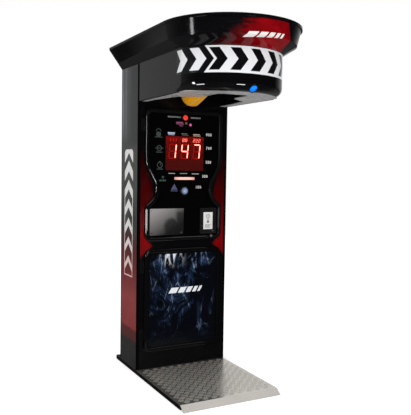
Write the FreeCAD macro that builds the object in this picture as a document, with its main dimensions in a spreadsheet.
import FreeCAD, Part
import Sketcher
import math
import os
import re

# Boxing punch machine: a floor-standing column on a tread plate, a head with a drum-shaped front,
# and a pear bag that swings down from the head. Millimetres, +Z up, the player stands at -Y.
# The origin is the centre of the overall footprint, on the floor.

os.makedirs("parts", exist_ok=True)
Vector = FreeCAD.Vector
Rotation = FreeCAD.Rotation
doc = FreeCAD.newDocument("PunchMachine")

DRIVING = [
    ("ColumnWide", "667"),
    ("ColumnDeep", "314"),
    ("BoardThick", "18"),
    ("FrontThick", "12"),
    ("FitGap", "0.3"),
    ("PadThick", "4"),
    ("PadRadius", "30"),
    ("PadInset", "70"),
    ("BaseThick", "26"),
    ("BaseFront", "676"),
    ("BaseRear", "396"),
    ("TreadThick", "3"),
    ("LipReach", "46"),
    ("LipRise", "2"),
    ("HeadBottom", "1822"),
    ("HeadTop", "2063"),
    ("DrumReach", "877"),
    ("DrumNose", "245"),
    ("DrumStraight", "60"),
    ("DrumWall", "6"),
    ("DrumRound", "46"),
    ("BandBottom", "1915"),
    ("BandTop", "2061"),
    ("BandThick", "2"),
    ("UnderThick", "4"),
    ("DrumFlange", "66"),
    ("SlotLip", "141"),
    ("SlotHalf", "105"),
    ("SlotRear", "470"),
    ("FlareHalf", "236"),
    ("FlareAt", "372"),
    ("WellHalf", "276"),
    ("WellAt", "120"),
    ("CeilingThick", "12"),
    ("CrownFlare", "91.5"),
    ("CrownNose", "423"),
    ("CrownOver", "138"),
    ("CrownBehind", "8"),
    ("CrownTop", "2206"),
    ("CrownLip", "15"),
    ("SwellHigh", "43"),
    ("SwellShare", "0.75"),
    ("BrimShare", "0.93"),
    ("CrownWall", "4"),
    ("LidSink", "3"),
    ("PivotReach", "545"),
    ("PivotHigh", "1918"),
    ("StowAngle", "6"),
    ("AxleRadius", "10"),
    ("AxleOver", "12"),
    ("RunFit", "0.05"),
    ("HubRadius", "22"),
    ("HubHalf", "30"),
    ("ArmRadius", "12.5"),
    ("CollarAt", "190"),
    ("CollarThick", "6"),
    ("CollarRadius", "38"),
    ("NeckRadius", "33"),
    ("BagAt", "436"),
    ("BagRadius", "76"),
    ("BracketHalf", "62"),
    ("BracketThick", "6"),
    ("BracketDeep", "110"),
    ("BracketDrop", "34"),
    ("BracketRound", "30"),
    ("AxleSpace", "2"),
    ("BearingRadius", "24"),
    ("BearingThick", "14"),
    ("MagnetAt", "128"),
    ("MagnetRadius", "24"),
    ("MagnetHigh", "34"),
    ("ArmatureHigh", "8"),
    ("ArmatureRadius", "20"),
    ("HangerWide", "50"),
    ("HangerThick", "5"),
    ("HangerOver", "4"),
    ("StopAt", "170"),
    ("StopRadius", "11"),
    ("DiscRadius", "42"),
    ("DiscThick", "2"),
    ("DiscSlots", "12"),
    ("SensorWide", "24"),
    ("LampRadius", "22"),
    ("LampBezel", "5"),
    ("LobeHalf", "287"),
    ("FasciaTop", "1781"),
    ("ShoulderHigh", "1407"),
    ("WaistHalf", "184"),
    ("WaistHigh", "1221"),
    ("LobeHigh", "1136"),
    ("FasciaBottom", "898"),
    ("CornerRound", "46"),
    ("ShoulderRound", "200"),
    ("WaistRound", "105"),
    ("RimWide", "27"),
    ("RimDeep", "22"),
    ("RimSoft", "10"),
    ("PanelSet", "12"),
    ("SkinThick", "4"),
    ("DoorGap", "52"),
    ("DoorBottom", "150"),
    ("HingeRadius", "5"),
    ("HingePin", "2"),
    ("KnuckleLong", "40"),
    ("HingeGap", "1.5"),
    ("WindowHalf", "143"),
    ("WindowBottom", "1374"),
    ("WindowHigh", "230"),
    ("WindowThick", "3"),
    ("DigitWide", "76"),
    ("DigitHigh", "112"),
    ("DigitDeep", "12"),
    ("DigitSpace", "1.5"),
    ("DigitGap", "14"),
    ("DigitRise", "129"),
    ("SmallWide", "72"),
    ("SmallHigh", "32"),
    ("SmallDrop", "25"),
    ("SmallGap", "19"),
    ("DisplayBoard", "2"),
    ("StatusHalf", "76"),
    ("StatusDrop", "54"),
    ("StatusHigh", "17"),
    ("StartHigh", "1236"),
    ("StartBezel", "33"),
    ("StartCap", "24"),
    ("StartTravel", "4"),
    ("TopButtonHigh", "1730"),
    ("TopButtonBezel", "22"),
    ("TopButtonCap", "17"),
    ("TopButtonTravel", "3"),
    ("CoverInset", "34"),
    ("CoverRight", "4"),
    ("CoinBottom", "938"),
    ("CoinTop", "1117"),
    ("CoverThick", "3"),
    ("ScrewInset", "14"),
    ("ScrewRadius", "2.2"),
    ("ScrewHead", "5"),
    ("CoinInset", "38"),
    ("CoinWide", "128"),
    ("CoinRim", "7"),
    ("CoinDeep", "6"),
    ("LabelSide", "28"),
    ("LabelLow", "30"),
    ("LabelThick", "2"),
    ("CoinSlotLong", "32"),
    ("CoinSlotHigh", "4"),
    ("AcceptorDeep", "60"),
    ("ReturnRadius", "6"),
    ("ReturnTravel", "3"),
    ("LockInset", "82"),
    ("LockHigh", "922"),
    ("LockRadius", "9"),
    ("CamLong", "40"),
    ("CamHalf", "7"),
    ("CamThick", "3"),
    ("PosterMargin", "10"),
    ("PosterThick", "3"),
    ("ShelfHigh", "330"),
    ("CashWide", "300"),
    ("CashDeep", "200"),
    ("CashHigh", "150"),
    ("CashWall", "2"),
    ("CashBack", "30"),
    ("CutOver", "1"),
    ("DisplaySpace", "14"),
    ("SwingSpace", "30"),
    ("CamSpace", "9"),
    ("HoleOver", "4"),
    ("HoleUnder", "20"),
    ("VentLow", "1500"),
    ("VentPitch", "26"),
    ("VentHalf", "90"),
    ("VentHigh", "10"),
    ("InletHigh", "150"),
    ("InletHalf", "24"),
    ("InletRise", "14"),
    ("InletFlange", "6"),
    ("InletThick", "3"),
    ("InletDeep", "30"),
    ("SocketHalf", "14"),
    ("SocketRise", "10"),
    ("SupplyAside", "30"),
    ("SupplyBack", "120"),
    ("SupplyWide", "110"),
    ("SupplyDeep", "150"),
    ("SupplyHigh", "90"),
    ("LampSeat", "14"),
    ("LampStand", "3"),
    ("LampTail", "20"),
    ("SlitHalf", "3"),
    ("SlitInset", "3"),
    ("SlitLong", "9"),
    ("ForkWide", "14"),
    ("ForkHigh", "28"),
    ("ForkOverlap", "10"),
    ("DiscOff", "3"),
    ("DiscSpace", "1.5"),
    ("PostRadius", "4"),
    ("PostAside", "5"),
    ("LensProud", "0.5"),
    ("BoardEdge", "10"),
    ("BezelFlange", "5"),
    ("BezelBevel", "2"),
    ("BezelWall", "3"),
    ("BezelBack", "8"),
    ("CapProud", "2"),
    ("StartDome", "9"),
    ("TopDome", "5"),
    ("HolderThick", "3"),
    ("SwitchWide", "20"),
    ("SwitchDeep", "18"),
    ("SwitchHigh", "14"),
    ("CoverRound", "6"),
    ("FrameRound", "8"),
    ("FrameFloor", "2"),
    ("LabelSink", "1"),
    ("ScrewRise", "2"),
    ("ScrewTail", "4"),
    ("KeyHalf", "4"),
    ("KeyWide", "2"),
    ("KeyDeep", "8"),
    ("LockProud", "2"),
    ("CamOff", "2"),
    ("BossWall", "6"),
    ("PosterRound", "18"),
    ("CatchAside", "26"),
    ("CatchWide", "18"),
    ("CatchHigh", "40"),
    ("WebOver", "3"),
    ("LeafWide", "17"),
    ("LeafThick", "2"),
    ("PlateThick", "1.5"),
    ("HingeTopIn", "110"),
    ("HingeLowIn", "90"),
    ("HingeDoorIn", "120"),
]
FORMULAS = [
    ("ColumnHalf", "=ColumnWide / 2"),
    ("CheekDeep", "=DrumReach - DrumNose - DrumStraight"),
    ("UnderReach", "=DrumReach - DrumFlange"),
    ("SlotFront", "=UnderReach - SlotLip"),
    ("CrownReach", "=DrumReach + CrownOver"),
    ("CrownStraight", "=CrownReach - CrownNose"),
    ("CrownHalf", "=ColumnHalf + CrownFlare"),
    ("CrownRear", "=ColumnDeep + CrownBehind"),
    ("FaceAt", "=(CrownReach - BaseRear) / 2"),
    ("DoorTop", "=FasciaBottom - DoorGap"),
    ("WindowTop", "=WindowBottom + WindowHigh"),
    ("DigitMid", "=WindowBottom + DigitRise"),
    ("SmallMid", "=WindowTop - SmallDrop"),
    ("StatusMid", "=WindowBottom - StatusDrop"),
    ("DigitPitch", "=DigitWide + DigitGap"),
    ("SmallPitch", "=SmallWide + SmallGap"),
    ("BoardTop", "=PadThick + BaseThick"),
    ("InnerHalf", "=ColumnWide / 2 - BoardThick"),
    ("DrumStart", "=CheekDeep + DrumStraight"),
    ("CrownLipAt", "=CrownTop - CrownLip"),
    ("SwellAt", "=HeadTop + SwellHigh"),
    ("SwellRear", "=SwellHigh / (CrownLipAt - HeadTop)"),
    ("CeilingAt", "=HeadTop - CeilingThick"),
    ("PanelFront", "=RimDeep - PanelSet"),
    ("CoverLeft", "=LobeHalf - CoverInset"),
    ("CoinRight", "=LobeHalf - CoinInset"),
    ("CoinLeft", "=CoinRight - CoinWide"),
    ("LockAside", "=LobeHalf - LockInset"),
    ("HingeAside", "=LobeHalf + HingeRadius + HingeGap"),
    ("HingeOut", "=HingeRadius + CutOver"),
]

sizes = doc.addObject("Spreadsheet::Sheet", "Sizes")
for row, (alias, content) in enumerate(DRIVING + FORMULAS, start=1):
    sizes.set("A%d" % row, alias)
    sizes.set("B%d" % row, content)
    sizes.setAlias("B%d" % row, alias)
doc.recompute()
ALIASES = {alias for alias, content in DRIVING + FORMULAS}

subParts = []


def bound(expression):
    """The expression with each size name pointing at the sheet."""
    return re.sub(r"[A-Za-z]\w*",
                  lambda word: ("Sizes." if word.group() in ALIASES else "") + word.group(), str(expression))


def number(expression):
    """The present value of an expression of size names."""
    return float(sizes.evalExpression(str(expression)))


def drive(thing, **expressions):
    for name, expression in expressions.items():
        thing.setExpression(name, bound(expression))


def settle(thing, x="0", y="0", z="0"):
    drive(thing, **{"Placement.Base.x": x, "Placement.Base.y": y, "Placement.Base.z": z})


def keep(label, thing):
    """Name a finished sub-part; its label is its file's name."""
    thing.Label = label
    subParts.append(thing)
    return thing


# Plain solids

def block(name, x, y, z, wide, deep, high):
    thing = doc.addObject("Part::Box", name)
    drive(thing, Length=wide, Width=deep, Height=high)
    settle(thing, x, y, z)
    return thing


AXES = {
    "x": Rotation(Vector(0, 1, 0), 90),
    "y": Rotation(Vector(1, 0, 0), -90),
    "z": Rotation(),
}


def rod(name, x, y, z, axis, radius, length):
    """A cylinder that starts at x, y, z and runs along +axis."""
    thing = doc.addObject("Part::Cylinder", name)
    thing.Placement = FreeCAD.Placement(Vector(), AXES[axis])
    drive(thing, Radius=radius, Height=length)
    settle(thing, x, y, z)
    return thing


def joined(name, pieces):
    thing = doc.addObject("Part::MultiFuse", name)
    thing.Shapes = pieces
    return thing


def grouped(name, pieces):
    """Like pieces that stay separate solids in one node."""
    thing = doc.addObject("Part::Compound", name)
    thing.Links = pieces
    return thing


def carved(name, base, tools):
    thing = doc.addObject("Part::Cut", name)
    thing.Base = base
    thing.Tool = tools[0] if len(tools) == 1 else joined(name + "Tools", tools)
    return thing


# Sketched solids

def newBody(name):
    return doc.addObject("PartDesign::Body", name)


def sketchOn(body, plane, offset):
    """An empty sketch on one of the body's origin planes, moved along the plane's normal."""
    sketch = body.newObject("Sketcher::SketchObject", body.Name + "Sketch")
    support = [feature for feature in body.Origin.OriginFeatures if feature.Role == plane][0]
    sketch.AttachmentSupport = [(support, "")]
    sketch.MapMode = "FlatFace"
    sketch.setExpression("AttachmentOffset.Base.z", bound(offset))
    return sketch


def pin(sketch, kind, geometry, point, expression):
    index = sketch.addConstraint(Sketcher.Constraint(kind, -1, 1, geometry, point, number(expression)))
    sketch.setExpression("Constraints[%d]" % index, bound(expression))


def addLoop(sketch, points):
    """Add a closed loop. A point is (x, y), or (x, y, radius) where an arc, turning left, arrives."""
    spots = [Vector(number(point[0]), number(point[1]), 0) for point in points]
    first = sketch.GeometryCount
    count = len(points)
    for index in range(count):
        start = spots[index]
        end = spots[(index + 1) % count]
        following = points[(index + 1) % count]
        if len(following) == 2:
            sketch.addGeometry(Part.LineSegment(start, end))
            continue
        radius = number(following[2])
        chord = end - start
        reach = math.sqrt(max(radius ** 2 - (chord.Length / 2) ** 2, 0))
        inward = Vector(-chord.y, chord.x, 0).normalize()
        middle = (start + end) / 2 + inward * (reach - radius)
        sketch.addGeometry(Part.Arc(start, middle, end))
    for index in range(count):
        geometry = first + index
        following = first + (index + 1) % count
        sketch.addConstraint(Sketcher.Constraint("Coincident", geometry, 2, following, 1))
        pin(sketch, "DistanceX", geometry, 1, points[index][0])
        pin(sketch, "DistanceY", geometry, 1, points[index][1])
        arrival = points[(index + 1) % count]
        if len(arrival) == 3:
            held = sketch.addConstraint(Sketcher.Constraint("Radius", geometry, number(arrival[2])))
            sketch.setExpression("Constraints[%d]" % held, bound(arrival[2]))


def addRound(sketch, x, y, radius):
    centre = Vector(number(x), number(y), 0)
    geometry = sketch.addGeometry(Part.Circle(centre, Vector(0, 0, 1), number(radius)))
    pin(sketch, "DistanceX", geometry, 3, x)
    pin(sketch, "DistanceY", geometry, 3, y)
    held = sketch.addConstraint(Sketcher.Constraint("Radius", geometry, number(radius)))
    sketch.setExpression("Constraints[%d]" % held, bound(radius))


def rectangle(left, bottom, right, top):
    return [(left, bottom), (right, bottom), (right, top), (left, top)]


def outlineOn(body, plane, offset, loops, rounds=()):
    sketch = sketchOn(body, plane, offset)
    for points in loops:
        addLoop(sketch, points)
    for x, y, radius in rounds:
        addRound(sketch, x, y, radius)
    return sketch


def pad(body, sketch, length, reverse=False, middle=False):
    feature = body.newObject("PartDesign::Pad", body.Name + "Pad")
    feature.Profile = sketch
    drive(feature, Length=length)
    feature.Reversed = reverse
    feature.Midplane = middle
    doc.recompute()
    return feature


def pocket(body, sketch, length, reverse=False):
    before = body.Shape.Volume
    feature = body.newObject("PartDesign::Pocket", body.Name + "Pocket")
    feature.Profile = sketch
    drive(feature, Length=length)
    feature.Reversed = reverse
    doc.recompute()
    if body.Shape.Volume >= before:
        raise ValueError("pocket cuts nothing in " + body.Name)
    return feature


def cutThrough(body, sketch):
    before = body.Shape.Volume
    feature = body.newObject("PartDesign::Pocket", body.Name + "Through")
    feature.Profile = sketch
    feature.Type = "ThroughAll"
    feature.Midplane = True
    doc.recompute()
    if body.Shape.Volume >= before:
        raise ValueError("hole cuts nothing in " + body.Name)
    return feature


def revolve(body, sketch, axis):
    """Turn a sketch about its own horizontal (H_Axis) or vertical (V_Axis) axis."""
    feature = body.newObject("PartDesign::Revolution", body.Name + "Turn")
    feature.Profile = sketch
    feature.ReferenceAxis = (sketch, [axis])
    feature.Angle = 360
    doc.recompute()
    return feature


def soften(body, radius, chosen):
    """Fillet the edges for which chosen(edge) is true."""
    tip = body.Tip
    names = ["Edge%d" % (index + 1) for index, edge in enumerate(tip.Shape.Edges) if chosen(edge)]
    if not names:
        raise ValueError("no edge to round in " + body.Name)
    feature = body.newObject("PartDesign::Fillet", body.Name + "Fillet")
    feature.Base = (tip, names)
    drive(feature, Radius=radius)
    doc.recompute()
    return feature


def isAlong(edge, direction):
    if not isinstance(edge.Curve, Part.Line):
        return False
    return abs(abs(edge.Curve.Direction.dot(direction)) - 1) < 1e-6


def near(value, expression):
    return abs(value - number(expression)) < 0.05


# Outlines seen from above: straight sides, a flat back and a round front. Arcs turn left.

def dOutline(half, rear, straight, front, radius, rearHalf=None):
    """Back edge at rear, sides forward to straight, then an arc to the front and round to the other side."""
    rearHalf = rearHalf or half
    return [("-(%s)" % rearHalf, rear), ("-(%s)" % half, straight), ("0", front, radius),
            (half, straight, radius), (rearHalf, rear)]


# Base

def makeBase():
    pads = []
    for side in ("-1", "1"):
        for distance in ("BaseRear - PadInset", "-BaseFront / 3", "-BaseFront + PadInset"):
            pads.append(rod("FloorPad", side + " * (ColumnHalf - PadInset)", "FaceAt + " + distance, "0",
                            "z", "PadRadius", "PadThick"))
    keep("floor_pads", grouped("FloorPads", pads))
    board = block("BaseBoard", "-ColumnHalf", "FaceAt - BaseFront", "PadThick",
                  "ColumnWide", "BaseFront + BaseRear", "BaseThick")
    keep("base_board", board)
    tread = newBody("TreadPlate")
    top = "BoardTop + TreadThick"
    bend = "FaceAt - BaseFront"
    section = [("FaceAt - FitGap", "BoardTop"), ("FaceAt - FitGap", top), (bend, top),
               (bend + " - LipReach", "LipRise"), (bend + " - LipReach + TreadThick", "LipRise"),
               (bend, "BoardTop")]
    pad(tread, outlineOn(tread, "YZ_Plane", "0", [section]), "ColumnWide", middle=True)
    keep("tread_plate", tread)


# Column

def makeColumn():
    for side, start in (("left", "-ColumnHalf"), ("right", "InnerHalf")):
        keep("side_panel_" + side, block("SidePanel", start, "FaceAt", "BoardTop",
                                         "BoardThick", "ColumnDeep", "HeadTop - BoardTop"))
        keep("head_cheek_" + side, block("HeadCheek", start, "FaceAt - CheekDeep", "HeadBottom",
                                         "BoardThick", "CheekDeep", "HeadTop - HeadBottom"))
    front = newBody("FrontPanel")
    sheet = rectangle("-InnerHalf", "BoardTop", "InnerHalf", "HeadTop - CeilingThick")
    pad(front, outlineOn(front, "XZ_Plane", "-FaceAt", [sheet]), "FrontThick", reverse=True)
    displayHole = rectangle("-WindowHalf - DisplaySpace", "WindowBottom - DisplaySpace",
                            "WindowHalf + SwingSpace", "WindowTop + DisplaySpace")
    coinHole = rectangle("-LobeHalf + 2 * RimWide", "LockHigh - CamHalf - CamSpace",
                         "LobeHalf - RimWide + HoleOver", "LobeHigh - HoleUnder")
    cashHole = rectangle("-LobeHalf + 2 * RimWide", "DoorBottom + 2 * RimWide",
                         "LobeHalf - 2 * RimWide", "DoorTop - 2 * RimWide")
    buttonHoles = [("0", "StartHigh", "StartBezel"), ("0", "TopButtonHigh", "TopButtonBezel")]
    holes = [displayHole, coinHole, cashHole]
    cutThrough(front, outlineOn(front, "XZ_Plane", "-FaceAt", holes, buttonHoles))
    keep("front_panel", front)
    back = newBody("BackPanel")
    sheet = rectangle("-InnerHalf", "BoardTop", "InnerHalf", "HeadTop - CeilingThick")
    pad(back, outlineOn(back, "XZ_Plane", "-(FaceAt + ColumnDeep)", [sheet]), "BoardThick")
    vents = []
    for row in range(6):
        low = "VentLow + %d * VentPitch" % row
        vents.append(rectangle("-VentHalf", low, "VentHalf", low + " + VentHigh"))
    inletHole = rectangle("-InletHalf", "InletHigh - InletRise", "InletHalf", "InletHigh + InletRise")
    cutThrough(back, outlineOn(back, "XZ_Plane", "-(FaceAt + ColumnDeep)", vents + [inletHole]))
    keep("back_panel", back)
    keep("cash_shelf", block("CashShelf", "-InnerHalf", "FaceAt + FrontThick", "ShelfHigh",
                             "2 * InnerHalf", "ColumnDeep - FrontThick - BoardThick", "BoardThick"))


def makeElectrics():
    rear = "FaceAt + ColumnDeep"
    flange = block("InletFlange", "-InletHalf - InletFlange", rear, "InletHigh - InletRise - InletFlange",
                   "2 * (InletHalf + InletFlange)", "InletThick", "2 * (InletRise + InletFlange)")
    tail = block("InletBody", "-InletHalf + FitGap", rear + " - InletDeep", "InletHigh - InletRise + FitGap",
                 "2 * (InletHalf - FitGap)", "InletDeep", "2 * (InletRise - FitGap)")
    well = block("InletWell", "-SocketHalf", rear + " - InletDeep / 2", "InletHigh - SocketRise",
                 "2 * SocketHalf", "InletDeep", "2 * SocketRise")
    keep("power_inlet", carved("PowerInlet", joined("InletSolid", [flange, tail]), [well]))
    keep("power_supply", block("PowerSupply", "-InnerHalf + SupplyAside", "FaceAt + SupplyBack", "BoardTop",
                               "SupplyWide", "SupplyDeep", "SupplyHigh"))


# Head

def drumSolid(name, inset, over):
    """The drum's form, drawn in by an inset: straight sides, round front, and a rounded lower edge."""
    body = newBody(name)
    bottom = "HeadBottom + " + inset
    reach = "(DrumReach - %s)" % inset
    half = "(ColumnHalf - %s)" % inset
    radius = "((%s - DrumStart)^2 + %s^2) / (2 * (%s - DrumStart))" % (reach, half, reach)
    rear = "FaceAt - CheekDeep + " + over
    outline = dOutline(half, rear, "FaceAt - DrumStart", "FaceAt - " + reach, radius)
    tall = "HeadTop - HeadBottom - %s + %s" % (inset, over)
    pad(body, outlineOn(body, "XY_Plane", bottom, [outline]), tall)
    soften(body, "DrumRound - " + inset,
           lambda edge: isinstance(edge.Curve, Part.Circle) and near(edge.BoundBox.ZMax, bottom))
    return body


def bandRing(name, outset, depth, low, high):
    """A strip that follows the drum's outside, from an outset to a depth, open at the rear."""
    ring = newBody(name)
    loops = []
    for inward, over in (("(0 - %s)" % outset, "0"), ("(%s)" % depth, "CutOver")):
        reach = "(DrumReach - %s)" % inward
        half = "(ColumnHalf - %s)" % inward
        radius = "((%s - DrumStart)^2 + %s^2) / (2 * (%s - DrumStart))" % (reach, half, reach)
        rear = "FaceAt - CheekDeep + " + over
        loops.append(dOutline(half, rear, "FaceAt - DrumStart", "FaceAt - " + reach, radius))
    pad(ring, outlineOn(ring, "XY_Plane", low, [loops[0]]), "(%s) - (%s)" % (high, low))
    pocket(ring, outlineOn(ring, "XY_Plane", low, [loops[1]]), "(%s) - (%s)" % (high, low), reverse=True)
    return ring


LAMP_TILT = 135


def lampRod(name, radius, start, end):
    """A cylinder on the lamp's slanted axis, by its distances from the centre of the rounded edge."""
    thing = doc.addObject("Part::Cylinder", name)
    thing.Placement = FreeCAD.Placement(Vector(), Rotation(Vector(1, 0, 0), LAMP_TILT))
    drive(thing, Radius=radius, Height="(%s) - (%s)" % (end, start))
    settle(thing, "0", "FaceAt - DrumReach + DrumRound - (%s) * sqrt(0.5)" % start,
           "HeadBottom + DrumRound - (%s) * sqrt(0.5)" % start)
    return thing


def makeHead():
    mouthRadius = ("((UnderReach + FitGap - DrumStart)^2 + (InnerHalf + FitGap)^2)"
                   " / (2 * (UnderReach + FitGap - DrumStart))")
    mouth = newBody("DrumMouth")
    outline = dOutline("InnerHalf + FitGap", "FaceAt - CheekDeep + CutOver", "FaceAt - DrumStart",
                       "FaceAt - UnderReach - FitGap", mouthRadius)
    pad(mouth, outlineOn(mouth, "XY_Plane", "HeadBottom - CutOver", [outline]), "DrumWall + 2 * CutOver")
    lampHole = lampRod("LampHole", "LampRadius + LampBezel + FitGap", "DrumRound - 2 * LampSeat",
                       "DrumRound + LampTail")
    recess = bandRing("BandRecess", "LampBezel", "BandThick + FitGap", "BandBottom", "BandTop + FitGap")
    outer = drumSolid("DrumOuter", "0", "0")
    inner = drumSolid("DrumInner", "DrumWall", "CutOver")
    keep("drum_shell", carved("DrumShell", outer, [inner, mouth, lampHole, recess]))
    keep("drum_band", bandRing("DrumBand", "0", "BandThick", "BandBottom + FitGap", "BandTop"))
    bezelOuter = lampRod("BezelOuter", "LampRadius + LampBezel", "DrumRound - LampSeat",
                         "DrumRound + LampStand")
    bezelBore = lampRod("BezelBore", "LampRadius + FitGap", "DrumRound - LampSeat - CutOver",
                        "DrumRound + LampStand + CutOver")
    keep("lamp_bezel", carved("LampBezelRing", bezelOuter, [bezelBore]))
    keep("head_lamp", lampRod("HeadLamp", "LampRadius", "DrumRound - LampTail", "DrumRound + CutOver"))

    under = newBody("UndersidePlate")
    plateRadius = "((UnderReach - DrumStart)^2 + InnerHalf^2) / (2 * (UnderReach - DrumStart))"
    outline = dOutline("InnerHalf", "FaceAt", "FaceAt - DrumStart", "FaceAt - UnderReach", plateRadius)
    pad(under, outlineOn(under, "XY_Plane", "HeadBottom", [outline]), "UnderThick")
    bell = [("-SlotHalf", "FaceAt - SlotFront"), ("SlotHalf", "FaceAt - SlotFront"),
            ("SlotHalf", "FaceAt - SlotRear"), ("FlareHalf", "FaceAt - FlareAt"),
            ("WellHalf", "FaceAt - WellAt"), ("WellHalf", "FaceAt + CutOver"),
            ("-WellHalf", "FaceAt + CutOver"), ("-WellHalf", "FaceAt - WellAt"),
            ("-FlareHalf", "FaceAt - FlareAt"), ("-SlotHalf", "FaceAt - SlotRear")]
    pocket(under, outlineOn(under, "XY_Plane", "HeadBottom", [bell]), "UnderThick", reverse=True)
    corners = [("SlotHalf", "FaceAt - SlotFront"), ("SlotHalf", "FaceAt - SlotRear"),
               ("FlareHalf", "FaceAt - FlareAt")]
    soften(under, "CornerRound", lambda edge: isAlong(edge, Vector(0, 0, 1)) and any(
        near(abs(edge.BoundBox.XMax), x) and near(edge.BoundBox.YMax, y) for x, y in corners))
    keep("underside_plate", under)

    ceiling = newBody("HeadCeiling")
    front = "(DrumReach - DrumWall - BandThick)"
    ceilingRadius = "((%s - DrumStart)^2 + InnerHalf^2) / (2 * (%s - DrumStart))" % (front, front)
    outline = dOutline("InnerHalf", "FaceAt + ColumnDeep", "FaceAt - DrumStart", "FaceAt - " + front,
                       ceilingRadius)
    pad(ceiling, outlineOn(ceiling, "XY_Plane", "CeilingAt", [outline]), "CeilingThick")
    keep("head_ceiling", ceiling)


# Crown

def crownSection(body, inset, high, share, rearShare):
    """The crown's outline at a height; share runs from 0 at the foot to 1 at the brim."""
    half, rearHalf = ("(ColumnHalf + CrownFlare * %s - %s)" % (part, inset) for part in (share, rearShare))
    rear = "(ColumnDeep + (CrownRear - ColumnDeep) * %s - %s)" % (rearShare, inset)
    front = "(DrumReach + CrownOver * %s - %s)" % (share, inset)
    straight = "(DrumStart + (CrownStraight - DrumStart) * %s)" % share
    radius = "((%s - %s)^2 + %s^2) / (2 * (%s - %s))" % (front, straight, half, front, straight)
    outline = dOutline(half, "FaceAt + " + rear, "FaceAt - " + straight, "FaceAt - " + front, radius,
                       rearHalf)
    return outlineOn(body, "XY_Plane", high, [outline])


def crownFlare(body, kind, name, inset):
    """Foot to brim; the nose swells out sooner than the flat sides do, and stops short of the lip."""
    flare = body.newObject("PartDesign::" + kind, name)
    flare.Profile = crownSection(body, inset, "HeadTop", "0", "0")
    flare.Sections = [crownSection(body, inset, "SwellAt", "SwellShare", "SwellRear"),
                      crownSection(body, inset, "CrownLipAt", "BrimShare", "1")]
    flare.Ruled = True
    doc.recompute()


def makeCrown():
    crown = newBody("CrownShell")
    crownFlare(crown, "AdditiveLoft", "CrownFlare", "0")
    pad(crown, crownSection(crown, "0", "CrownLipAt", "1", "1"), "CrownLip")
    crownFlare(crown, "SubtractiveLoft", "CrownHollow", "CrownWall")
    pocket(crown, crownSection(crown, "CrownWall", "CrownLipAt", "BrimShare", "1"), "CrownWall", reverse=True)
    pocket(crown, crownSection(crown, "CrownWall", "CrownLipAt + CrownWall", "1", "1"),
           "CrownLip - CrownWall", reverse=True)
    keep("crown_shell", crown)
    lid = newBody("CrownLid")
    brim = "(CrownReach - CrownWall - FitGap)"
    half = "(CrownHalf - CrownWall - FitGap)"
    radius = "((%s - CrownStraight)^2 + %s^2) / (2 * (%s - CrownStraight))" % (brim, half, brim)
    outline = dOutline(half, "FaceAt + CrownRear - CrownWall - FitGap", "FaceAt - CrownStraight",
                       "FaceAt - " + brim, radius)
    pad(lid, outlineOn(lid, "XY_Plane", "CrownTop - LidSink - CrownWall", [outline]), "CrownWall")
    keep("crown_lid", lid)


# Swinging bag. Places on the arm are a distance along it from the pivot and a rise square to it.

ARM_Y = "FaceAt - PivotReach + (%s) * cos(StowAngle * 1deg) + (%s) * sin(StowAngle * 1deg)"
ARM_Z = "PivotHigh - (%s) * sin(StowAngle * 1deg) + (%s) * cos(StowAngle * 1deg)"


def armSpot(along, rise):
    return ARM_Y % (along, rise), ARM_Z % (along, rise)


def armRod(name, radius, start, end):
    """A cylinder on the arm's own line."""
    thing = doc.addObject("Part::Cylinder", name)
    thing.Placement = FreeCAD.Placement(Vector(), Rotation(Vector(1, 0, 0), -90 - number("StowAngle")))
    drive(thing, Radius=radius, Height="(%s) - (%s)" % (end, start))
    settle(thing, "0", *armSpot(start, "0"))
    return thing


def postRod(name, radius, along, low, high):
    """A cylinder that stands square on the arm."""
    thing = doc.addObject("Part::Cylinder", name)
    thing.Placement = FreeCAD.Placement(Vector(), Rotation(Vector(1, 0, 0), -number("StowAngle")))
    drive(thing, Radius=radius, Height="(%s) - (%s)" % (high, low))
    settle(thing, "0", *armSpot(along, low))
    return thing


def pivotRod(name, start, radius, length):
    return rod(name, start, "FaceAt - PivotReach", "PivotHigh", "x", radius, length)


def makeBag():
    bag = newBody("PunchBag")
    start = number("CollarAt + CollarThick")
    neck = number("NeckRadius")
    radius = number("BagRadius")
    taper = number("BagAt") - start
    touch = math.atan2(taper, neck) - math.acos(radius / math.hypot(taper, neck))
    flank = (str(radius * math.cos(touch)), str(number("BagAt") - radius * math.sin(touch)))
    outline = [("0", "CollarAt + CollarThick"), ("NeckRadius", "CollarAt + CollarThick"), flank,
               ("0", "BagAt + BagRadius", "BagRadius")]
    revolve(bag, outlineOn(bag, "XZ_Plane", "0", [outline]), "V_Axis")
    bag.Placement = FreeCAD.Placement(Vector(), Rotation(Vector(1, 0, 0), -90 - number("StowAngle")))
    settle(bag, "0", "FaceAt - PivotReach", "PivotHigh")
    keep("punch_bag", bag)
    keep("bag_collar", armRod("BagCollar", "CollarRadius", "CollarAt", "CollarAt + CollarThick"))
    keep("swing_arm", carved("SwingArm", armRod("ArmTube", "ArmRadius", "0", "CollarAt"),
                             [pivotRod("HubSpace", "-HubHalf", "HubRadius", "2 * HubHalf")]))
    keep("arm_hub", carved("ArmHub", pivotRod("HubRound", "-HubHalf", "HubRadius", "2 * HubHalf"),
                           [pivotRod("HubBore", "-HubHalf", "AxleRadius + RunFit", "2 * HubHalf")]))
    keep("armature", carved("Armature", postRod("ArmatureDisc", "ArmatureRadius",
                                                "MagnetAt", "ArmRadius / 2", "ArmRadius + ArmatureHigh"),
                            [armRod("ArmSpace", "ArmRadius", "0", "CollarAt")]))


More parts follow.
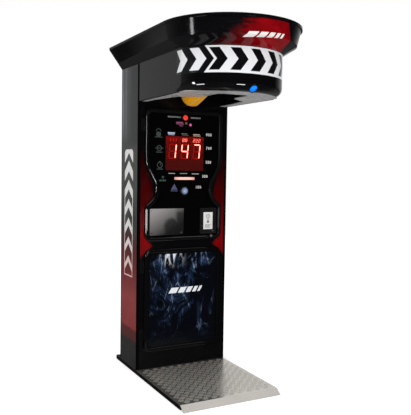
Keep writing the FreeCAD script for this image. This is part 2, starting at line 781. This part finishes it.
def makePivot():
    outside = "BracketHalf + BracketThick"
    bracket = newBody("PivotBracket")
    leg = "PivotHigh - BracketDrop"
    arch = [("-(%s)" % outside, leg), ("-BracketHalf", leg), ("-BracketHalf", "CeilingAt - BracketThick"),
            ("BracketHalf", "CeilingAt - BracketThick"), ("BracketHalf", leg), (outside, leg),
            (outside, "CeilingAt"), ("-(%s)" % outside, "CeilingAt")]
    arch.reverse()
    pad(bracket, outlineOn(bracket, "XZ_Plane", "-(FaceAt - PivotReach) - BracketDeep / 2", [arch]),
        "BracketDeep")
    soften(bracket, "BracketRound",
           lambda edge: isAlong(edge, Vector(1, 0, 0)) and near(edge.BoundBox.ZMax, leg))
    cutThrough(bracket, outlineOn(bracket, "YZ_Plane", "0", [],
                                  [("FaceAt - PivotReach", "PivotHigh", "AxleRadius + AxleSpace")]))
    keep("pivot_bracket", bracket)
    shaftHalf = outside + " + BearingThick + AxleOver"
    keep("pivot_axle", pivotRod("PivotAxle", "-(%s)" % shaftHalf, "AxleRadius", "2 * (%s)" % shaftHalf))
    bearings = []
    for start in ("-(%s) - BearingThick" % outside, outside):
        housing = pivotRod("BearingHousing", start, "BearingRadius", "BearingThick")
        bore = pivotRod("BearingBore", start, "AxleRadius + RunFit", "BearingThick")
        bearings.append(carved("Bearing", housing, [bore]))
    keep("pivot_bearings", grouped("PivotBearings", bearings))

    disc = newBody("SensorDisc")
    rings = [("0", "0", "DiscRadius"), ("0", "0", "AxleRadius + RunFit")]
    pad(disc, outlineOn(disc, "YZ_Plane", "0", [], rings), "DiscThick")
    slit = rectangle("-SlitHalf", "DiscRadius - SlitInset - SlitLong", "SlitHalf", "DiscRadius - SlitInset")
    slot = outlineOn(disc, "YZ_Plane", "0", [slit])
    cut = pocket(disc, slot, "DiscThick", reverse=True)
    ring = disc.newObject("PartDesign::PolarPattern", "SlotPattern")
    ring.Originals = [cut]
    ring.Axis = (slot, ["N_Axis"])
    ring.Angle = 360
    drive(ring, Occurrences="DiscSlots")
    disc.Tip = ring
    discAt = outside + " + BearingThick + DiscOff"
    settle(disc, discAt, "FaceAt - PivotReach", "PivotHigh")
    doc.recompute()
    keep("sensor_disc", disc)
    forkAt = discAt + " - (ForkWide - DiscThick) / 2"
    forkLow = "PivotHigh + DiscRadius - ForkOverlap"
    fork = block("SensorFork", forkAt, "FaceAt - PivotReach - SensorWide / 2", forkLow,
                 "ForkWide", "SensorWide", "ForkHigh")
    tab = block("SensorTab", outside, "FaceAt - PivotReach - SensorWide / 2", forkLow + " + 4 / 7 * ForkHigh",
                forkAt + " - (%s)" % outside, "SensorWide", "3 / 7 * ForkHigh")
    gap = block("SensorGap", discAt + " - DiscSpace", "FaceAt - PivotReach - SensorWide",
                forkLow + " - CutOver", "DiscThick + 2 * DiscSpace", "2 * SensorWide",
                "4 / 7 * ForkHigh - CutOver")
    keep("speed_sensor", carved("SpeedSensor", joined("SensorSolid", [fork, tab]), [gap]))

    magnetLow = "ArmRadius + ArmatureHigh + FitGap"
    magnetTop = magnetLow + " + MagnetHigh"
    keep("holding_magnet", postRod("HoldingMagnet", "MagnetRadius", "MagnetAt", magnetLow, magnetTop))
    keep("arm_stop", postRod("ArmStop", "StopRadius", "StopAt", "ArmRadius + FitGap", magnetTop))
    hanger = newBody("MagnetHanger")
    start = "MagnetAt - MagnetRadius - HangerOver"
    end = "StopAt + StopRadius + HangerOver"
    footTop = "%s + HangerThick" % magnetTop
    riserAt = armSpot(start, magnetTop)[0]
    section = [armSpot(start, magnetTop), armSpot(end, magnetTop), armSpot(end, footTop),
               armSpot(start + " + HangerThick", footTop), (riserAt + " + HangerThick", "CeilingAt"),
               (riserAt, "CeilingAt")]
    pad(hanger, outlineOn(hanger, "YZ_Plane", "0", [section]), "HangerWide", middle=True)
    keep("magnet_hanger", hanger)


# Front mouldings: a raised, rounded rim round a set-back panel, hollow behind

def inset(corners, distance):
    """A closed polygon, listed turning left, drawn in by a distance."""
    inner = []
    count = len(corners)
    for index in range(count):
        here = corners[index]
        back = corners[index - 1]
        ahead = corners[(index + 1) % count]
        arrive = (here - back).normalize()
        leave = (ahead - here).normalize()
        arriveSide = Vector(-arrive.y, arrive.x, 0)
        leaveSide = Vector(-leave.y, leave.x, 0)
        spread = 1 + arriveSide.dot(leaveSide)
        inner.append(here + (arriveSide + leaveSide) * (distance / spread))
    return inner


def roundUprights(body, corners, radii):
    """Round the edges along Y that stand at each corner."""
    for radius in sorted(set(radii)):
        wanted = [corner for corner, own in zip(corners, radii) if own == radius]
        soften(body, str(radius), lambda edge: isAlong(edge, Vector(0, 1, 0)) and any(
            near(edge.BoundBox.XMax, corner.x) and near(edge.BoundBox.ZMax, corner.y) for corner in wanted))


def moulding(name, outline, hollows=()):
    """outline holds (x, z, radius, hollow corner or not), turning left."""
    body = newBody(name)
    back = "FaceAt - FitGap"
    face = "FaceAt - RimDeep"
    loop = [(x, z) for x, z, radius, isHollow in outline]
    pad(body, outlineOn(body, "XZ_Plane", "-(%s)" % back, [loop]), "RimDeep - FitGap")
    corners = [Vector(number(x), number(z), 0) for x, z in loop]
    roundUprights(body, corners, [number(radius) for x, z, radius, isHollow in outline])
    rim = number("RimWide")
    innerCorners = inset(corners, rim)
    innerLoop = [(str(corner.x), str(corner.y)) for corner in innerCorners]
    innerRadii = [number(radius) + (rim if isHollow else -rim) for x, z, radius, isHollow in outline]
    pocket(body, outlineOn(body, "XZ_Plane", "-(%s)" % face, [innerLoop]), "PanelSet")
    roundUprights(body, innerCorners, innerRadii)
    soften(body, "RimSoft", lambda edge: near(edge.BoundBox.YMax, face))
    pocket(body, outlineOn(body, "XZ_Plane", "-(%s)" % back, [innerLoop]),
           "PanelFront - SkinThick - FitGap", reverse=True)
    return body


def fasciaOutline():
    right = [("LobeHalf", "FasciaBottom", "CornerRound", False),
             ("LobeHalf", "LobeHigh", "CornerRound", False),
             ("WaistHalf", "WaistHigh", "WaistRound", True),
             ("LobeHalf", "ShoulderHigh", "ShoulderRound", False),
             ("LobeHalf", "FasciaTop", "CornerRound", False)]
    left = [("-" + x, z, radius, isHollow) for x, z, radius, isHollow in reversed(right)]
    return right + left


COVER_SCREWS = [(x, z) for x in ("-CoverLeft + ScrewInset", "-CoverRight - ScrewInset")
                for z in ("CoinBottom + ScrewInset", "CoinTop - ScrewInset")]


def makeFascia():
    body = moulding("Fascia", fasciaOutline())
    boss = [("LockAside", "LockHigh", "LockRadius + BossWall")]
    pad(body, outlineOn(body, "XZ_Plane", "-(FaceAt - FitGap)", [], boss), "RimDeep - FitGap")
    posts = [("%s(WindowHalf + PostAside)" % side, z, "PostRadius") for side in ("", "-")
             for z in ("WindowBottom - PostAside", "WindowTop + PostAside")]
    pad(body, outlineOn(body, "XZ_Plane", "-(FaceAt - PanelFront + SkinThick / 2)", [], posts),
        "WindowThick + DigitSpace + DigitDeep - SkinThick / 2", reverse=True)
    windowHole = rectangle("-WindowHalf - FitGap", "WindowBottom - FitGap",
                           "WindowHalf + FitGap", "WindowTop + FitGap")
    lensHole = rectangle("-StatusHalf - FitGap", "StatusMid - StatusHigh / 2 - FitGap",
                         "StatusHalf + FitGap", "StatusMid + StatusHigh / 2 + FitGap")
    coinHole = rectangle("CoinLeft + CoinRim", "CoinBottom + CoinRim",
                         "CoinRight - CoinRim", "CoinTop - CoinRim")
    rounds = [("0", "StartHigh", "StartCap + BezelWall + FitGap"),
              ("0", "TopButtonHigh", "TopButtonCap + BezelWall + FitGap"),
              ("LockAside", "LockHigh", "LockRadius + RunFit")]
    rounds += [(x, z, "ScrewRadius + FitGap") for x, z in COVER_SCREWS]
    cutThrough(body, outlineOn(body, "XZ_Plane", "-FaceAt", [windowHole, lensHole, coinHole], rounds))
    keep("fascia_moulding", body)


def makeDisplay():
    front = "FaceAt - PanelFront"
    keep("display_window", block("DisplayWindow", "-WindowHalf", front, "WindowBottom",
                                 "2 * WindowHalf", "WindowThick", "WindowTop - WindowBottom"))
    digits = []
    smalls = []
    digitsAt = front + " + WindowThick + DigitSpace"
    for column in ("-1", "0", "1"):
        digits.append(block("ScoreDigit", column + " * DigitPitch - DigitWide / 2", digitsAt,
                            "DigitMid - DigitHigh / 2", "DigitWide", "DigitDeep", "DigitHigh"))
        smalls.append(block("SmallDigit", column + " * SmallPitch - SmallWide / 2", digitsAt,
                            "SmallMid - SmallHigh / 2", "SmallWide", "DigitDeep", "SmallHigh"))
    keep("score_digits", grouped("ScoreDigits", digits))
    keep("record_digits", grouped("RecordDigits", smalls))
    keep("display_board", block("DisplayBoardSheet", "-WindowHalf - BoardEdge", digitsAt + " + DigitDeep",
                                "WindowBottom - BoardEdge", "2 * (WindowHalf + BoardEdge)", "DisplayBoard",
                                "WindowTop - WindowBottom + 2 * BoardEdge"))
    keep("status_lens", block("StatusLens", "-StatusHalf", front + " - LensProud",
                              "StatusMid - StatusHigh / 2", "2 * StatusHalf", "SkinThick + LensProud",
                              "StatusHigh"))


def makeButton(name, high, bezelRadius, capRadius, travel, dome):
    """A push button: a flanged bezel through the panel, a domed cap that slides in it, a switch behind."""
    flangeTop = "-PanelFront - BezelFlange"
    barrel = capRadius + " + BezelWall"
    bezel = newBody(name + "Bezel")
    section = [("BezelBack", capRadius), ("BezelBack", barrel), ("-PanelFront", barrel),
               ("-PanelFront", bezelRadius), ("-PanelFront - BezelBevel", bezelRadius),
               (flangeTop, bezelRadius + " - BezelBevel"), (flangeTop, capRadius)]
    revolve(bezel, outlineOn(bezel, "YZ_Plane", "0", [section]), "H_Axis")
    settle(bezel, "0", "FaceAt", high)
    keep(name + "_bezel", bezel)
    cap = newBody(name + "Cap")
    own = capRadius + " - FitGap"
    shoulder = flangeTop + " - CapProud"
    capBack = "BezelBack - %s - FitGap" % travel
    domeRadius = "((%s)^2 + %s^2) / (2 * %s)" % (own, dome, dome)
    section = [("%s - %s" % (shoulder, dome), "0", domeRadius), (capBack, "0"), (capBack, own),
               (shoulder, own)]
    revolve(cap, outlineOn(cap, "YZ_Plane", "0", [section]), "H_Axis")
    settle(cap, "0", "FaceAt", high)
    keep(name, cap)
    holder = rod(name + "Holder", "0", "FaceAt + BezelBack", high, "y", barrel, "HolderThick")
    switch = block(name + "Switch", "-SwitchWide / 2", "FaceAt + BezelBack + HolderThick",
                   high + " - SwitchHigh / 2", "SwitchWide", "SwitchDeep", "SwitchHigh")
    return joined(name + "SwitchSolid", [holder, switch])


def makeButtons():
    start = makeButton("start_button", "StartHigh", "StartBezel", "StartCap", "StartTravel", "StartDome")
    top = makeButton("top_button", "TopButtonHigh", "TopButtonBezel", "TopButtonCap", "TopButtonTravel",
                     "TopDome")
    keep("button_switches", grouped("ButtonSwitches", [start, top]))


def makeCoinPanel():
    front = "FaceAt - PanelFront"
    cover = newBody("CoinCover")
    sheet = rectangle("-CoverLeft", "CoinBottom", "-CoverRight", "CoinTop")
    pad(cover, outlineOn(cover, "XZ_Plane", "-(%s)" % front, [sheet]), "CoverThick")
    soften(cover, "CoverRound", lambda edge: isAlong(edge, Vector(0, 1, 0)))
    cutThrough(cover, outlineOn(cover, "XZ_Plane", "-(%s)" % front, [],
                                [(x, z, "ScrewRadius + FitGap") for x, z in COVER_SCREWS]))
    keep("coin_cover", cover)
    screws = []
    for x, z in COVER_SCREWS:
        head = rod("ScrewTop", x, front + " - CoverThick - ScrewRise", z, "y", "ScrewHead", "ScrewRise")
        shank = rod("ScrewShank", x, front + " - CoverThick - ScrewRise / 2", z, "y", "ScrewRadius",
                    "CoverThick + SkinThick + ScrewTail")
        screws.append(joined("CoverScrew", [head, shank]))
    keep("cover_screws", grouped("CoverScrews", screws))

    frame = newBody("CoinFrame")
    sheet = rectangle("CoinLeft", "CoinBottom", "CoinRight", "CoinTop")
    pad(frame, outlineOn(frame, "XZ_Plane", "-(%s)" % front, [sheet]), "CoinDeep")
    soften(frame, "FrameRound", lambda edge: isAlong(edge, Vector(0, 1, 0)))
    trench = rectangle("CoinLeft + CoinRim", "CoinBottom + CoinRim",
                       "CoinRight - CoinRim", "CoinTop - CoinRim")
    pocket(frame, outlineOn(frame, "XZ_Plane", "-(%s) + CoinDeep" % front, [trench]), "CoinDeep - FrameFloor")
    labelHole = rectangle("CoinLeft + LabelSide", "CoinBottom + LabelLow",
                          "CoinRight - LabelSide", "CoinTop - LabelLow")
    pocket(frame, outlineOn(frame, "XZ_Plane", "-(%s) + FrameFloor" % front, [labelHole]), "LabelSink")
    middle = "(CoinLeft + CoinRight) / 2"
    slotAt = "CoinTop - LabelLow / 2 - FrameFloor"
    coinSlot = rectangle(middle + " - CoinSlotLong / 2", slotAt + " - CoinSlotHigh / 2",
                         middle + " + CoinSlotLong / 2", slotAt + " + CoinSlotHigh / 2")
    returnSpot = ("CoinRight - LabelSide", "CoinBottom + LabelLow / 2 + FrameFloor", "ReturnRadius + RunFit")
    cutThrough(frame, outlineOn(frame, "XZ_Plane", "-(%s)" % front, [coinSlot], [returnSpot]))
    keep("coin_frame", frame)
    keep("coin_label", block("CoinLabel", "CoinLeft + LabelSide + FitGap",
                             front + " - LabelSink - LabelThick", "CoinBottom + LabelLow + FitGap",
                             "CoinRight - CoinLeft - 2 * (LabelSide + FitGap)", "LabelThick",
                             "CoinTop - CoinBottom - 2 * (LabelLow + FitGap)"))
    acceptor = block("AcceptorBox", "CoinLeft + CoinRim + FitGap", front, "CoinBottom + CoinRim + FitGap",
                     "CoinRight - CoinLeft - 2 * (CoinRim + FitGap)", "AcceptorDeep + PanelFront",
                     "CoinTop - CoinBottom - 2 * (CoinRim + FitGap)")
    coinWay = block("CoinWay", middle + " - CoinSlotLong / 2", front + " - CutOver",
                    slotAt + " - CoinSlotHigh / 2", "CoinSlotLong", "AcceptorDeep - CoinDeep", "CoinSlotHigh")
    returnWay = rod("ReturnWay", returnSpot[0], front + " - CutOver", returnSpot[1], "y",
                    "ReturnRadius + CutOver", "2 * (ReturnTravel + FrameFloor) + CutOver")
    keep("coin_acceptor", carved("CoinAcceptor", acceptor, [coinWay, returnWay]))
    keep("coin_return_button", rod("CoinReturn", returnSpot[0], front + " - 2 * ReturnTravel", returnSpot[1],
                                   "y", "ReturnRadius", "4 * ReturnTravel"))


def makeLock():
    front = "FaceAt - RimDeep - LockProud"
    camAt = "FaceAt + FrontThick + CamOff"
    barrel = rod("LockBarrel", "LockAside", front, "LockHigh", "y", "LockRadius",
                 "(%s) - (%s)" % (camAt, front))
    keyway = block("LockKeyway", "LockAside - KeyWide / 2", front + " - CutOver", "LockHigh - KeyHalf",
                   "KeyWide", "KeyDeep + CutOver", "2 * KeyHalf")
    keep("fascia_lock", carved("FasciaLock", barrel, [keyway]))
    blade = block("CamBlade", "LockAside - CamLong", camAt, "LockHigh - CamHalf",
                  "CamLong", "CamThick", "2 * CamHalf")
    eye = rod("CamEye", "LockAside", camAt, "LockHigh", "y", "CamHalf", "CamThick")
    keep("lock_cam", joined("LockCam", [blade, eye]))


# Lower door and the hinges of both doors

def makeDoor():
    corners = rectangle("-LobeHalf", "DoorBottom", "LobeHalf", "DoorTop")
    keep("poster_door", moulding("PosterDoor", [(x, z, "CornerRound", False) for x, z in corners]))
    poster = newBody("PosterPanel")
    edge = "LobeHalf - RimWide - PosterMargin"
    sheet = rectangle("-(%s)" % edge, "DoorBottom + RimWide + PosterMargin",
                      edge, "DoorTop - RimWide - PosterMargin")
    pad(poster, outlineOn(poster, "XZ_Plane", "-(FaceAt - PanelFront)", [sheet]), "PosterThick")
    soften(poster, "PosterRound", lambda side: isAlong(side, Vector(0, 1, 0)))
    keep("poster_panel", poster)
    middle = "(DoorTop + DoorBottom) / 2"
    keep("door_catch", block("DoorCatch", "LobeHalf - RimWide - CatchAside",
                             "FaceAt - PanelFront + SkinThick + FitGap", middle + " - CatchHigh / 2",
                             "CatchWide", "PanelFront - SkinThick - FitGap", "CatchHigh"))


def hingeAt(name, high):
    """One butt hinge: its fixed half, its moving half and its pin."""
    axisX = "-HingeAside"
    axisY = "FaceAt - HingeOut"
    half = "KnuckleLong / 2"
    fixed = []
    for low in (high + " - KnuckleLong", high + " + %s + FitGap" % half):
        fixed.append(rod(name + "Knuckle", axisX, axisY, low, "z", "HingeRadius", half + " - FitGap"))
        fixed.append(block(name + "Web", axisX + " - HingeRadius - WebOver", axisY, low,
                           "HingeRadius + WebOver", "HingeOut", half + " - FitGap"))
    fixed.append(block(name + "Leaf", axisX + " - HingeRadius - LeafWide - CutOver", "FaceAt - LeafThick",
                       high + " - KnuckleLong", "LeafWide", "LeafThick", "2 * KnuckleLong"))
    moving = [rod(name + "Moving", axisX, axisY, high + " - " + half, "z", "HingeRadius", "KnuckleLong"),
              block(name + "Arm", axisX, axisY + " - LeafThick", high + " - " + half,
                    "HingeAside - LobeHalf", "2 * LeafThick", "KnuckleLong"),
              block(name + "Plate", "-LobeHalf - PlateThick", "FaceAt - RimDeep + RimSoft",
                    high + " - " + half, "PlateThick", "RimDeep - RimSoft - CutOver", "KnuckleLong")]
    bore = [rod(name + "Bore", axisX, axisY, high + " - KnuckleLong - CutOver", "z", "HingePin + RunFit",
                "2 * (KnuckleLong + CutOver)")]
    pinRod = rod(name + "Pin", axisX, axisY, high + " - KnuckleLong", "z", "HingePin", "2 * KnuckleLong")
    return (carved(name + "Fixed", joined(name + "FixedSolid", fixed), bore),
            carved(name + "Swing", joined(name + "SwingSolid", moving), bore), pinRod)


def makeHinges():
    places = {"fascia": ("FasciaTop - HingeTopIn", "LobeHigh - HingeLowIn"),
              "door": ("DoorTop - HingeDoorIn", "DoorBottom + HingeDoorIn")}
    fixed = []
    pins = []
    for door, heights in places.items():
        moving = []
        for high in heights:
            still, swing, pinRod = hingeAt("Hinge", high)
            fixed.append(still)
            moving.append(swing)
            pins.append(pinRod)
        keep(door + "_hinges", grouped("HingesOf" + door, moving))
    keep("hinge_leaves", grouped("HingeLeaves", fixed))
    keep("hinge_pins", grouped("HingePins", pins))


def makeCashBox():
    bottom = "ShelfHigh + BoardThick"
    left = "-CashWide / 2"
    back = "FaceAt + FrontThick + CashBack"
    outer = block("CashOuter", left, back, bottom, "CashWide", "CashDeep", "CashHigh")
    inner = block("CashInner", left + " + CashWall", back + " + CashWall", bottom + " + CashWall",
                  "CashWide - 2 * CashWall", "CashDeep - 2 * CashWall", "CashHigh")
    keep("cash_box", carved("CashBox", outer, [inner]))


makeBase()
makeColumn()
makeElectrics()
makeHead()
makeCrown()
makeBag()
makePivot()
makeFascia()
makeDisplay()
makeButtons()
makeCoinPanel()
makeLock()
makeDoor()
makeHinges()
makeCashBox()
doc.recompute()

for thing in doc.Objects:
    if "Invalid" in thing.State or "Error" in thing.State:
        raise ValueError("failed object " + thing.Name)
for part in subParts:
    if part.Shape.isNull() or not part.Shape.isValid() or not part.Shape.Solids:
        raise ValueError("bad shape " + part.Label)
for part in subParts:
    part.Shape.exportStep("parts/%s.step" % part.Label)
print("wrote", len(subParts), "sub-parts")
